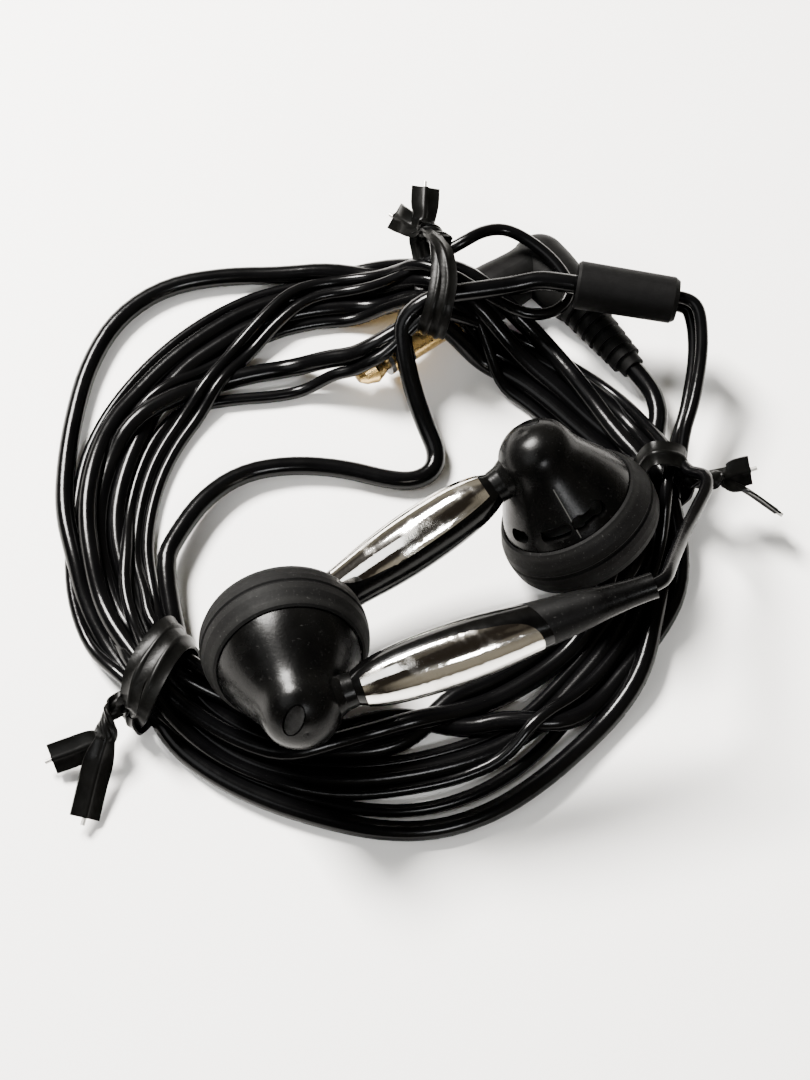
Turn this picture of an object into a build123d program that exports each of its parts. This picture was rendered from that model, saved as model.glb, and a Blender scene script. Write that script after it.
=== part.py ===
from build123d import *
import math
import os

# Wired earphones with rubber ear rings: two earbuds on a forked cord with an angled 3.5 mm
# plug, wound into a loose coil that three twist ties hold. Millimetres, +Z up. The origin is
# on the table, under the middle of the two earbuds. Each earbud is drawn in a frame of its
# own: z runs from the grille face to the nose, and x along the stem.
os.makedirs("parts", exist_ok=True)

# ---- driving dimensions ----
TRUNK_D = 2.0            # cord from the plug to the splitter
BRANCH_D = 1.3           # cord from the splitter to an earbud
GAP = 0.03               # clearance between pieces that are glued or pressed together

RING_R = 8.15            # rubber ear ring, outside
RING_H = 5.4
SKIRT_R = 6.85           # rim of the rear housing, inside the ring
SKIRT_INNER_R = 6.2
SKIRT_Z = 1.05
NOSE_Z = 11.4            # height of the middle of the nose, where the stem starts
NOSE_R = 4.1
NOSE_END_Z = 14.9
NECK_R = 1.65            # waist between the nose and the stem
STEM_START = 5.2         # measured from the middle of the nose
STEM_R = 2.9
RELIEF_START = 22.8
RELIEF_START_R = 2.3
RELIEF_END = 34.2
RELIEF_END_R = 1.25
RELIEF_SLANT = 27        # degrees, the joint between the stem and its strain relief
CHANNEL_R = 0.75         # the wire's way through the stem
PLATE_START = 6.0
PLATE_END = 23.3
PLATE_LOW = 0.8          # how far its edges stay outward of the stem's middle
PLATE_PROUD = 0.08
PLATE_DEPTH = 0.4
VENT_Z = 6.75

MAGNET_R = 2.5
TOP_PLATE_R = 2.6
COIL_INNER_R = 2.85
COIL_OUTER_R = 3.2
YOKE_INNER_R = 3.5
YOKE_R = 4.2
FRAME_R = 6.1
DIAPHRAGM_R = 4.8
DIAPHRAGM_T = 0.12
DIAPHRAGM_Z = 2.1
GRILLE_R = 6.35
GRILLE_Z = 0.55
GRILLE_T = 0.5
GRILLE_HOLE_R = 0.42
GRILLE_PITCH = 1.25

# How the two earbuds lie: the middle of the nose, and which way the nose and the stem point.
LEFT_NOSE = (-12.11, -13.10, 13.20)
LEFT_NOSE_WAY = (0.210, -0.871, 0.445)
LEFT_STEM_WAY = (0.945, 0.297, 0.135)
RIGHT_NOSE = (10.38, 12.39, 13.45)
RIGHT_NOSE_WAY = (-0.481, 0.362, 0.799)
RIGHT_STEM_WAY = (-0.831, -0.480, -0.282)

PLUG_Z = 3.2             # height of the plug's axis over the table
PLUG_TIP = (-7.7, 27.2, PLUG_Z)
PLUG_HEADING = 36.0      # degrees, from the tip towards the body
PLUG_SHAFT = 14.0
PLUG_R = 1.75
PLUG_CORE_R = 1.1
PLUG_RING_WALL_R = 1.3
PLUG_ROD_R = 0.6
SOCKET_ROOM = 2.65       # left free round the shaft, for a socket to slide over it
PLUG_BODY_R = 3.1
ELBOW = 24.2             # from the tip to the middle of the elbow
LEG = 6.6                # from the elbow to where the ribs start
RIBS = 7
RIB_PITCH = 1.25
PLUG_RELIEF = 9.6

SPLITTER_L = 10.6
SPLITTER_R = 2.5
SPLITTER_OPEN_R = 1.9
SPLITTER_OPEN = 1.2
SPLITTER_LEFT = (15.1, 34.8, 9.3)
SPLITTER_RIGHT = (25.4, 33.2, 8.7)

# The coil: its middle, and its inner and outer radius at angles round it.
COIL_MIDDLE = (-5.0, 11.0)
COIL_H = 6.2
COIL_SHAPE = [
    (5, 23.8, 30.9), (30, 23.2, 32.6), (50, 22.2, 32.8), (72, 21.4, 30.4), (90, 20.6, 30.2),
    (107, 19.8, 32.0), (130, 22.2, 36.4), (155, 24.3, 35.5), (180, 23.6, 33.0),
    (200, 23.0, 31.6), (217, 24.3, 31.1), (240, 23.3, 30.4), (265, 22.2, 32.0),
    (285, 21.8, 33.4), (305, 23.0, 32.6), (325, 24.6, 30.8), (345, 25.0, 29.5),
]
HUMP_START = 60          # degrees: the stretch that goes over the plug
HUMP_END = 98
HUMP_LOW = 5.9
HUMP_HIGH = 10.4

TIE_W = 3.0
TIE_T = 0.5
TIE_WIRE_R = 0.22
TIE_GAP = 0.12
KNOT_R = 1.5


def save(name, shape):
    export_step(shape, f"parts/{name}.step")


def turned(outline):
    """A solid of revolution about Z, from (radius, height) corners."""
    return revolve(Plane.XZ * make_face(Polyline(*outline, close=True)), Axis.Z)


def turned_smooth(curve_points, inner_corners):
    """A solid of revolution with a smooth outside and straight lines back to its start."""
    outside = Spline(*curve_points)
    back = Polyline(curve_points[-1], *inner_corners, curve_points[0])
    return revolve(Plane.XZ * make_face([outside, *back.edges()]), Axis.Z)


def tube_ring(outer, inner, low, high):
    return turned([(inner, low), (outer, low), (outer, high), (inner, high)])


def disc(radius, low, high):
    return turned([(0, low), (radius, low), (radius, high), (0, high)])


def arc_radius(before, corner, after):
    """The largest arc that a corner of a cord's route allows."""
    a, b = Vector(*corner) - Vector(*before), Vector(*after) - Vector(*corner)
    half_turn = math.radians(a.get_angle(b)) / 2
    return 0.45 * min(a.length, b.length) / math.tan(half_turn)


def cord(name, route, diameter):
    """A plain round tube along straight runs joined by tangent arcs."""
    radii = [arc_radius(*route[i - 1:i + 2]) for i in range(1, len(route) - 1)]
    path = FilletPolyline(*route, radius=radii)
    section = Plane(origin=path @ 0, z_dir=path % 0) * Circle(diameter / 2)
    tube = sweep(section, path=path)
    expected = math.pi * diameter ** 2 / 4 * path.length
    print(f"{name}: length {path.length:.1f}, radii", " ".join(f"{r:.1f}" for r in radii),
          f"volume {tube.volume:.2f} of {expected:.2f}")
    save(name, tube)
    return tube


# ---- the earbud, in its own frame ----
ALONG_STEM = Location((0, 0, NOSE_Z), (0, 90, 0))


def vent_slot(angle, length, width, waist):
    """A slot through the housing: two rounded ends and a narrower middle."""
    end = length / 2 - width / 2
    cutter = Box(3.2, length - width, waist)
    for side in (-1, 1):
        cutter += Location((0, side * end, 0), (0, 90, 0)) * Cylinder(width / 2, 3.2)
    return Location((0, 0, 0), (0, 0, angle)) * Location((6.4, 0, VENT_Z)) * cutter


def port_frame(hand):
    """The eye-shaped port in the nose looks a little away from the stem and to one side."""
    way = Vector(-0.21, -0.44 * hand, 0.87)
    long_side = Vector(0.57, -0.82 * hand, 0.0)
    middle = Vector(0, 0, NOSE_Z)
    return Plane(origin=middle, x_dir=long_side, z_dir=way)


def rear_housing(hand):
    outside = [(SKIRT_R, RING_H), (5.95, 7.5), (4.85, 9.6), (NOSE_R, NOSE_Z), (3.55, 13.2),
               (2.3, 14.45), (0, NOSE_END_Z)]
    inside = [(0, 13.5), (1.8, 13.1), (2.7, 12.0), (3.25, 11.0), (4.0, 9.5), (5.15, 7.3),
              (SKIRT_INNER_R, RING_H - 0.2), (SKIRT_INNER_R, SKIRT_Z), (SKIRT_R, SKIRT_Z)]
    shell = turned_smooth(outside, inside)
    neck = ALONG_STEM * turned([(CHANNEL_R, 2.9), (2.3, 2.9), (1.75, 4.2),
                                (NECK_R, STEM_START), (CHANNEL_R, STEM_START)])
    shell = shell + neck
    shell -= ALONG_STEM * disc(CHANNEL_R, 2.0, STEM_START + 1)
    for angle, length, width, waist in ((98, 3.8, 1.6, 1.15), (64, 3.2, 1.3, 1.3),
                                        (24, 2.4, 1.2, 1.2)):
        shell -= vent_slot(angle * hand, length, width, waist)
    mouth = port_frame(hand) * extrude(Ellipse(1.65, 0.95), amount=6)
    floor = port_frame(hand) * Box(8, 8, 6.2)
    return shell - (mouth - floor)


def nose_port(hand):
    """The small oval lens at the bottom of the port."""
    lens = port_frame(hand) * Location((0, 0, 3.15)) * extrude(Ellipse(1.5, 0.8), amount=0.3)
    return lens


def stem_outline(grow):
    rows = [(1.6, STEM_START), (2.05, 6.3), (2.5, 8.2), (2.8, 11), (STEM_R, 14), (2.78, 18),
            (RELIEF_START_R, RELIEF_START), (2.0, 26), (1.62, 29), (1.36, 31.4),
            (RELIEF_END_R, RELIEF_END)]
    return [(r + grow, x) for r, x in rows]


def stem_solid(grow):
    return ALONG_STEM * turned_smooth(stem_outline(grow), [(0, RELIEF_END), (0, STEM_START)])


def relief_side():
    """Everything past the slanted joint between the stem and its strain relief."""
    block = Box(30, 20, 20, align=(Align.MIN, Align.CENTER, Align.CENTER))
    return Location((RELIEF_START, 0, NOSE_Z), (0, RELIEF_SLANT, 0)) * block


def plate_space():
    """The outward side of the stem, rounded off towards the strain relief."""
    low, high = NOSE_Z + PLATE_LOW, NOSE_Z + 4.5
    edge = Spline((17.0, low), (20.6, low + 0.4), (22.6, low + 1.2), (PLATE_END, low + 2.3))
    rest = Polyline((PLATE_END, low + 2.3), (PLATE_END, high), (PLATE_START, high),
                    (PLATE_START, low), (17.0, low))
    side = Plane.XZ * make_face([edge, *rest.edges()])
    return extrude(side, amount=5, both=True)


def stem_pieces():
    channel = ALONG_STEM * disc(CHANNEL_R, STEM_START - 1, RELIEF_END + 1)
    plate = (stem_solid(PLATE_PROUD) - stem_solid(-PLATE_DEPTH)) & plate_space()
    body = stem_solid(0) - relief_side() - plate - channel
    relief = (stem_solid(0) & relief_side()) - channel
    return body, plate, relief


def ear_ring():
    return turned([(6.42, 0.0), (7.3, 0.0), (7.75, 0.3), (8.05, 1.0), (RING_R, 1.9),
                   (RING_R, 2.6), (8.0, 2.75), (8.0, 2.95), (8.1, 3.1), (7.95, 3.8),
                   (7.5, 4.8), (7.25, 5.25), (7.0, RING_H), (SKIRT_R + GAP, 5.3),
                   (SKIRT_R + GAP, SKIRT_Z - GAP), (6.42, SKIRT_Z - GAP)])


def front_grille():
    plate = disc(GRILLE_R, GRILLE_Z, GRILLE_Z + GRILLE_T)
    hole = Cylinder(GRILLE_HOLE_R, 2)
    rows = range(-4, 5)
    places = [(GRILLE_PITCH * (i + j / 2), GRILLE_PITCH * j * math.sqrt(3) / 2)
              for i in rows for j in rows]
    near = [p for p in places if math.hypot(*p) < 5.2]
    return plate - [Location((x, y, GRILLE_Z)) * hole for x, y in near]


def diaphragm():
    front = [(0, 1.62), (1.2, 1.72), (2.2, 1.93), (2.7, DIAPHRAGM_Z), (3.3, DIAPHRAGM_Z),
             (4.1, 1.97), (DIAPHRAGM_R, 2.03)]
    back = [(r, z + DIAPHRAGM_T) for r, z in reversed(front)]
    return turned(front + back)


def driver_frame():
    wall = tube_ring(FRAME_R, 5.3, 2.18, 3.9)
    floor = tube_ring(5.4, YOKE_R + GAP, 3.3, 3.9)
    vents = [Location((0, 0, 0), (0, 0, 30 + 60 * k)) * Location((4.78, 0, 3.6)) * Box(0.7, 1.5, 2)
             for k in range(6)]
    return wall + floor - vents


def yoke():
    return turned([(0, 4.68), (YOKE_INNER_R, 4.68), (YOKE_INNER_R, 2.85), (YOKE_R, 2.85),
                   (YOKE_R, 5.2), (0, 5.2)])


def place_of(nose, nose_way, stem_way):
    z = Vector(*nose_way).normalized()
    x = Vector(*stem_way)
    x = (x - z * x.dot(z)).normalized()
    return Plane(origin=Vector(*nose) - z * NOSE_Z, x_dir=x, z_dir=z).location


LEFT = place_of(LEFT_NOSE, LEFT_NOSE_WAY, LEFT_STEM_WAY)
RIGHT = place_of(RIGHT_NOSE, RIGHT_NOSE_WAY, RIGHT_STEM_WAY)
COIL_TOP = DIAPHRAGM_Z + DIAPHRAGM_T
for side, place, hand in (("left", LEFT, -1), ("right", RIGHT, 1)):
    body, plate, relief = stem_pieces()
    pieces = {
        "rear_housing": rear_housing(hand),
        "nose_port": nose_port(hand),
        "stem": body,
        "stem_plate": plate,
        "strain_relief": relief,
        "ear_ring": ear_ring(),
        "front_grille": front_grille(),
        "front_cloth": disc(SKIRT_INNER_R - 0.1, 1.08, 1.2),
        "surround": tube_ring(6.0, 5.0, 2.05, 2.15),
        "diaphragm": diaphragm(),
        "voice_coil": tube_ring(COIL_OUTER_R, COIL_INNER_R, COIL_TOP, 3.9),
        "top_plate": disc(TOP_PLATE_R, 2.85, 3.35),
        "magnet": disc(MAGNET_R, 3.35, 4.68),
        "yoke": yoke(),
        "driver_frame": driver_frame(),
        "terminal_board": Location((5.05, 0, 4.15)) * Box(1.0, 2.6, 0.44),
        "vent_felt": tube_ring(5.85, 3.4, 5.2 + GAP, 5.55),
    }
    for piece, solid in pieces.items():
        save(f"{side}_{piece}", place * solid)


# ---- the angled plug ----
def heading(degrees):
    return Vector(math.cos(math.radians(degrees)), math.sin(math.radians(degrees)), 0)


SHAFT = Plane(origin=PLUG_TIP, x_dir=(0, 0, 1), z_dir=heading(PLUG_HEADING)).location
elbow_middle = Vector(*PLUG_TIP) + heading(PLUG_HEADING) * ELBOW
LEG_WAY = Plane(origin=elbow_middle, x_dir=(0, 0, 1), z_dir=heading(PLUG_HEADING - 90)).location

shaft_end = 12.0
tip = turned([(0, 0), (0.7, 0.1), (1.25, 0.7), (1.7, 1.9), (1.3, 3.0), (PLUG_CORE_R, 3.3),
              (PLUG_CORE_R, 3.5), (PLUG_ROD_R, 3.5), (PLUG_ROD_R, shaft_end), (0, shaft_end)])
contacts = {
    "plug_tip_insulator": tube_ring(PLUG_R, PLUG_ROD_R, 3.5, 4.0),
    "plug_core": tube_ring(PLUG_CORE_R, PLUG_ROD_R, 4.0, shaft_end),
    "plug_ring": tube_ring(PLUG_R, PLUG_CORE_R, 4.0, 6.0)
    + tube_ring(PLUG_RING_WALL_R, PLUG_CORE_R, 6.0, shaft_end),
    "plug_ring_insulator": tube_ring(PLUG_R, PLUG_RING_WALL_R, 6.0, 6.5),
    "plug_sleeve": tube_ring(PLUG_R, PLUG_RING_WALL_R, 6.5, PLUG_SHAFT)
    + tube_ring(2.4, PLUG_RING_WALL_R, PLUG_SHAFT, 15),
}
save("plug_tip", SHAFT * tip)
for name, solid in contacts.items():
    save(name, SHAFT * solid)

collar = turned_smooth([(2.2, PLUG_SHAFT), (2.75, 15.0), (PLUG_BODY_R, 18.0),
                        (PLUG_BODY_R, ELBOW)], [(0, ELBOW), (0, PLUG_SHAFT)])
inner_space = disc(PLUG_RING_WALL_R, PLUG_SHAFT - 1, 17)
flange = disc(2.4 + GAP, PLUG_SHAFT - 1, 15 + GAP)
leg = turned_smooth([(PLUG_BODY_R, 0), (PLUG_BODY_R, 3.0), (2.7, 5.6), (2.4, LEG)],
                    [(0, LEG), (0, 0)])
save("plug_body", SHAFT * (collar - inner_space - flange) + LEG_WAY * leg
     + Location(elbow_middle) * Sphere(PLUG_BODY_R))


def ribbed_relief():
    core = turned([(0, LEG), (1.75, LEG), (1.3, LEG + PLUG_RELIEF), (0, LEG + PLUG_RELIEF)])
    for k in range(RIBS):
        r = 2.25 - 0.09 * k
        z = LEG + 0.1 + RIB_PITCH * k
        core += tube_ring(r, 0.5, z, z + 0.8)
    return core


save("plug_relief", LEG_WAY * ribbed_relief())

# ---- the splitter, where the cord forks ----
left_end, right_end = Vector(*SPLITTER_LEFT), Vector(*SPLITTER_RIGHT)
SPLITTER_WAY = (right_end - left_end).normalized()
BARREL = Plane(origin=left_end, x_dir=(0, 0, 1), z_dir=SPLITTER_WAY).location
barrel = turned([(0, SPLITTER_OPEN), (SPLITTER_OPEN_R, SPLITTER_OPEN), (SPLITTER_OPEN_R, 0.1),
                 (2.3, 0), (SPLITTER_R, 0.3), (2.42, SPLITTER_L - 0.5),
                 (2.1, SPLITTER_L), (0, SPLITTER_L)])
save("splitter", BARREL * barrel)

# ---- the coil, as one closed solid ----
def on_coil(angle, radius, z=0.0):
    return Vector(COIL_MIDDLE[0], COIL_MIDDLE[1], z) + heading(angle) * radius


def ring_face(column):
    return make_face(Spline(*[on_coil(row[0], row[column]) for row in COIL_SHAPE], periodic=True))


def sector(start, end, low, high):
    """A wedge between two angles round the coil's middle."""
    corners = [(0, 0)] + [tuple(heading(a) * 60)[:2] for a in (start, (start + end) / 2, end)]
    face = make_face(Polyline(*corners, close=True))
    return Location((*COIL_MIDDLE, low)) * extrude(face, amount=high - low)


def wound(height):
    return extrude(ring_face(2), amount=height) - extrude(ring_face(1), amount=height)


def strip(start, end, width, face_way):
    """A straight flat tail of a tie, with its broad side facing face_way."""
    a, b = Vector(*start), Vector(*end)
    way = (b - a).normalized()
    lean = Vector(*face_way)
    lean = (lean - way * lean.dot(way)).normalized()
    frame = Plane(origin=(a + b) / 2, x_dir=way, z_dir=lean)
    return frame.location * Box((b - a).length, width, TIE_T)


def rod(start, end, radius):
    a, b = Vector(*start), Vector(*end)
    frame = Plane(origin=(a + b) / 2, z_dir=(b - a).normalized())
    return frame.location * Cylinder(radius, (b - a).length)


TAILS = {
    "top": [((-0.7, 41.6, 8.9), (-0.5, 46.8, 9.4), (0.2, -0.3, 1)),
            ((-1.1, 42.0, 8.2), (-3.7, 44.4, 7.4), (-0.3, -0.5, 1))],
    "left": [((-31.3, -12.2, 3.2), (-36.7, -14.2, 1.6), (0.2, -0.5, 1)),
             ((-31.2, -12.8, 3.0), (-33.2, -20.0, 1.3), (0.6, -0.2, 1))],
    "right": [((26.9, 13.4, 5.4), (32.2, 14.9, 6.0), (0.2, -0.8, 1)),
              ((29.9, 13.9, 5.6), (35.0, 11.4, 3.6), (0.4, 0.9, 0.5))],
}
KNOTS = {
    "top": ((0.9, 41.4, 8.0), (-0.9, 42.4, 8.6)),
    "left": ((-29.6, -9.2, 3.4), (-31.6, -12.6, 3.0)),
    "right": ((25.4, 13.4, 5.6), (27.6, 13.6, 5.4)),
}

# Each tie: its angle round the coil, its width, and the corners of its band as (radius, height).
# The right one is lower where it goes under the earbud's ring.
TIES = {
    "top": (77, TIE_W, [(20.2, 5.9), (30.6, 5.9), (30.6, 11.1), (20.2, 11.1)]),
    "left": (218, 5.0, [(23.6, 0.1), (31.8, 0.1), (31.8, 6.9), (23.6, 6.9)]),
    "right": (7, TIE_W, [(23.9, 0.1), (31.2, 0.1), (31.2, 8.2), (27.0, 8.2), (27.0, 3.2),
                         (23.9, 3.2)]),
}


def tie_block(name, grow, width):
    """The space inside a tie's band, made larger or smaller all round."""
    angle, _, corners = TIES[name]
    side = Plane(origin=(*COIL_MIDDLE, 0), x_dir=heading(angle), z_dir=heading(angle - 90))
    outline = offset(make_face(Polyline(*corners, close=True)), amount=grow, kind=Kind.INTERSECTION)
    return extrude(side * outline, amount=width / 2, both=True)


def across(angle, width):
    """A slot right across the coil at one angle."""
    return Location(on_coil(angle, 26, 10), (0, 0, angle)) * Box(30, width, 24)


def bud_space(place):
    """The room that an earbud needs, with some clearance."""
    capsule = turned([(0, -0.6), (8.0, -0.6), (8.75, 1.2), (8.75, 3.4), (7.8, 5.6), (6.5, 7.8),
                      (4.9, 11), (4.4, 13.5), (2.6, 15.5), (0, 15.6)])
    stem = ALONG_STEM * turned([(0, 2), (3.5, 2), (3.5, 19), (2.0, 31), (1.85, 34.9), (0, 34.9)])
    return place * (capsule + stem)


plug_space = SHAFT * (disc(SOCKET_ROOM, -0.6, 15) + disc(3.5, 13.6, ELBOW + 4))
plug_space += LEG_WAY * (disc(3.5, 0, LEG) + disc(2.7, LEG, LEG + PLUG_RELIEF + 0.1))
splitter_space = BARREL * disc(2.9, -0.4, SPLITTER_L + 0.5)

bundle = wound(COIL_H) - sector(HUMP_START + 2, HUMP_END - 2, -1, HUMP_LOW)
bundle += wound(HUMP_HIGH) & sector(HUMP_START, HUMP_END, HUMP_LOW, HUMP_HIGH + 1)
bundle -= plug_space
bundle -= splitter_space
bundle -= bud_space(LEFT)
bundle -= bud_space(RIGHT)
for name, (angle, width, _) in TIES.items():
    slot = across(angle, width + 2 * TIE_GAP)
    bundle -= slot - tie_block(name, -TIE_T - TIE_GAP, width + 1)
for start, end in KNOTS.values():
    bundle -= rod(start, end, KNOT_R + TIE_GAP)
save("cord_coil", bundle)


# ---- the twist ties ----
for name, (angle, width, _) in TIES.items():
    band = tie_block(name, 0, width) - tie_block(name, -TIE_T, width + 1)
    band += rod(*KNOTS[name], KNOT_R)
    wires = []
    for start, end, face_way in TAILS[name]:
        band += strip(start, end, TIE_W, face_way)
        way = (Vector(*end) - Vector(*start)).normalized()
        wires.append(rod(tuple(Vector(*end)), tuple(Vector(*end) + way * 0.7), TIE_WIRE_R))
    save(f"tie_{name}", band)
    save(f"tie_{name}_wire", Compound(wires))


# ---- the stretches of cord that aren't wound ----
lead_start = left_end + SPLITTER_WAY * SPLITTER_OPEN
lead_turn = left_end - SPLITTER_WAY * 1.6
cord("trunk_lead",
     [tuple(lead_start), tuple(lead_turn), (11.2, 35.4, 9.3), (9.0, 34.9, 9.0)], TRUNK_D)
cord("trunk_inner_loop",
     [(-3.0, 31.6, 7.5), (-2.7, 28.6, 6.0), (-1.8, 25.3, 3.9), (-0.5, 22.1, 2.1),
      (0.75, 19.5, 1.2), (0.4, 17.3, 1.05), (-1.6, 16.1, 1.02), (-4.4, 16.3, 1.05),
      (-9.0, 17.6, 1.1), (-14.4, 18.0, 1.2), (-19.6, 16.9, 1.4), (-23.4, 13.7, 1.7),
      (-25.9, 9.2, 2.1), (-27.0, 6.0, 2.5)], TRUNK_D)
fork = left_end + SPLITTER_WAY * SPLITTER_L
for side, up, out in (("left", 0.85, 0.3), ("right", -0.85, -0.3)):
    start = fork + Vector(0, 0, up)
    straight = start + SPLITTER_WAY * 1.1
    cord(f"{side}_branch_lead",
         [tuple(start), tuple(straight), (27.3 + out, 32.1, 8.5 + up), (27.6 + out, 30.4, 8.1 + up),
          (27.6 + out, 27.7, 7.4 + up), (27.1 + out, 24.6, 6.6 + up), (26.4 + out, 21.6, 6.0 + up),
          (25.4 + out, 18.9, 5.5 + up)], BRANCH_D)


def relief_tip(nose, stem_way):
    return Vector(*nose) + Vector(*stem_way).normalized() * RELIEF_END


left_tip = relief_tip(LEFT_NOSE, LEFT_STEM_WAY)
cord("left_bud_lead",
     [tuple(left_tip), (21.0, -2.6, 17.85), (21.6, -1.6, 17.3), (22.1, -0.1, 16.3),
      (23.1, 2.4, 14.5), (24.3, 5.2, 12.7), (25.8, 8.3, 11.2), (27.1, 11.0, 10.1),
      (27.2, 12.6, 9.3), (26.4, 13.4, 8.3), (25.6, 14.0, 7.4)], BRANCH_D)
right_tip = relief_tip(RIGHT_NOSE, RIGHT_STEM_WAY)
cord("right_bud_lead",
     [tuple(right_tip), (-19.4, -4.9, 3.4), (-20.5, -5.8, 3.1), (-21.5, -6.5, 3.0)], BRANCH_D)
cord("right_inner_lead",
     [(-14.4, -10.2, 1.3), (-11.4, -9.0, 1.1), (-7.4, -5.9, 0.8), (-2.4, -2.6, 0.7),
      (3.0, -0.1, 0.7), (8.4, 1.7, 0.75), (13.6, 2.7, 0.9), (16.8, 3.7, 1.1),
      (18.6, 5.2, 1.4)], BRANCH_D)
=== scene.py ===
import bpy
import bmesh
import math
import numpy as np
from mathutils import Matrix, Vector


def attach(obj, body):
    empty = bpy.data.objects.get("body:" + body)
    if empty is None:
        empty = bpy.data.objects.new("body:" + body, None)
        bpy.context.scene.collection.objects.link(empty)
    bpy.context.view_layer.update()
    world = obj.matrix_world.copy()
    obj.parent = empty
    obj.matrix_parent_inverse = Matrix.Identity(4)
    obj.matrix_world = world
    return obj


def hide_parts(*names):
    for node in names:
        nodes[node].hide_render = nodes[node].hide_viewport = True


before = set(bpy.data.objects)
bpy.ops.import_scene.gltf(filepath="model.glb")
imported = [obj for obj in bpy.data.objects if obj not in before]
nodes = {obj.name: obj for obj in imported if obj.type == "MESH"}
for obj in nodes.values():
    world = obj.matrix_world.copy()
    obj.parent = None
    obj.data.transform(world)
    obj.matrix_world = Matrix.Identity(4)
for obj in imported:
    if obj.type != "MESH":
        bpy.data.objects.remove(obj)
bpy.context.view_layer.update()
bpy.ops.object.select_all(action="DESELECT")

# ---- Camera, table and lights ----
# The earphones lie on a pale table under soft room light, seen from above and a little in
# front. The camera is close, so near pieces look larger than far ones.

camera_data = bpy.data.cameras.new("camera")
camera_data.lens = 65.0
camera_data.sensor_width = 36.0
camera_data.clip_start = 0.01
camera = bpy.data.objects.new("camera", camera_data)
camera.location = (-0.0026, -0.07462, 0.18126)
camera.rotation_euler = (math.radians(25), 0, 0)
bpy.context.collection.objects.link(camera)
bpy.context.scene.camera = camera


# A material is wired up with ordinary arithmetic: a Signal is one socket of its nodes, and an
# expression on Signals adds the Math nodes that work it out.
class Signal:
    def __init__(self, finish, socket):
        self.finish = finish
        self.socket = socket

    def maths(self, operation, *values):
        return self.finish.maths(operation, *values)

    def __add__(self, other):
        return self.maths("ADD", self, other)

    def __radd__(self, other):
        return self.maths("ADD", other, self)

    def __sub__(self, other):
        return self.maths("SUBTRACT", self, other)

    def __rsub__(self, other):
        return self.maths("SUBTRACT", other, self)

    def __mul__(self, other):
        return self.maths("MULTIPLY", self, other)

    def __rmul__(self, other):
        return self.maths("MULTIPLY", other, self)

    def __gt__(self, other):
        return self.maths("GREATER_THAN", self, other)

    def __lt__(self, other):
        return self.maths("LESS_THAN", self, other)


class Finish:
    """A procedural material on a Principled shader, for one kind of surface."""

    def __init__(self, name, **fixed):
        self.material = bpy.data.materials.new(name)
        self.material.use_nodes = True
        self.tree = self.material.node_tree
        self.shader = self.tree.nodes["Principled BSDF"]
        for socket, value in fixed.items():
            self.set(socket.replace("_", " "), value)

    def set(self, socket, value):
        target = self.shader.inputs[socket]
        if isinstance(value, Signal):
            self.tree.links.new(value.socket, target)
        else:
            target.default_value = value

    def node(self, kind, settings=None, sockets=None, output=0):
        made = self.tree.nodes.new(kind)
        for name, value in (settings or {}).items():
            if name == "stops":
                self.ramp(made.color_ramp, value)
            else:
                setattr(made, name, value)
        for name, value in (sockets or {}).items():
            if isinstance(value, Signal):
                self.tree.links.new(value.socket, made.inputs[name])
            else:
                made.inputs[name].default_value = value
        return Signal(self, made.outputs[output])

    def ramp(self, ramp, stops):
        while len(ramp.elements) < len(stops):
            ramp.elements.new(0.5)
        for element, (place, value) in zip(ramp.elements, stops):
            colour = (value, value, value) if isinstance(value, float) else value
            element.position = place
            element.color = (*colour, 1)

    def maths(self, operation, *values):
        return self.node("ShaderNodeMath", {"operation": operation}, dict(enumerate(values)))

    def place(self):
        return self.node("ShaderNodeTexCoord", output="Object")

    def noise(self, scale, detail=3.0, roughness=0.5):
        return self.node("ShaderNodeTexNoise", {},
                         {"Vector": self.place(), "Scale": scale, "Detail": detail,
                          "Roughness": roughness})

    def ramped(self, signal, *stops):
        """A colour for each value of a signal. A stop is its place and a colour or a grey."""
        return self.node("ShaderNodeValToRGB", {"stops": stops}, {"Fac": signal})

    def mix(self, factor, one, two):
        return self.node("ShaderNodeMix", {"data_type": "RGBA"},
                         {"Factor": factor, 6: one, 7: two}, output=2)

    def bump(self, height, distance, strength=1.0, after=None):
        sockets = {"Height": height, "Distance": distance, "Strength": strength}
        if after:
            sockets["Normal"] = after
        return self.node("ShaderNodeBump", {}, sockets)


def dress(node, finish):
    """Gives a CAD node its real material."""
    mesh = nodes[node].data
    mesh.materials.clear()
    mesh.materials.append(finish.material)


bpy.ops.mesh.primitive_plane_add(size=3.0, location=(0, 0, 0))
table = bpy.context.object
table.name = "table_top"
tabletop = Finish("table_paint", Specular_IOR_Level=0.3)
tabletop.set("Base Color", tabletop.ramped(tabletop.noise(18.0, 5.0),
                                           (0.3, (0.86, 0.85, 0.83)), (0.7, (0.89, 0.88, 0.86))))
tabletop.set("Roughness", 0.5 + tabletop.noise(900.0) * 0.15)
tabletop.set("Normal", tabletop.bump(tabletop.noise(2500.0), 0.00002, 0.4))
table.data.materials.append(tabletop.material)

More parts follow.
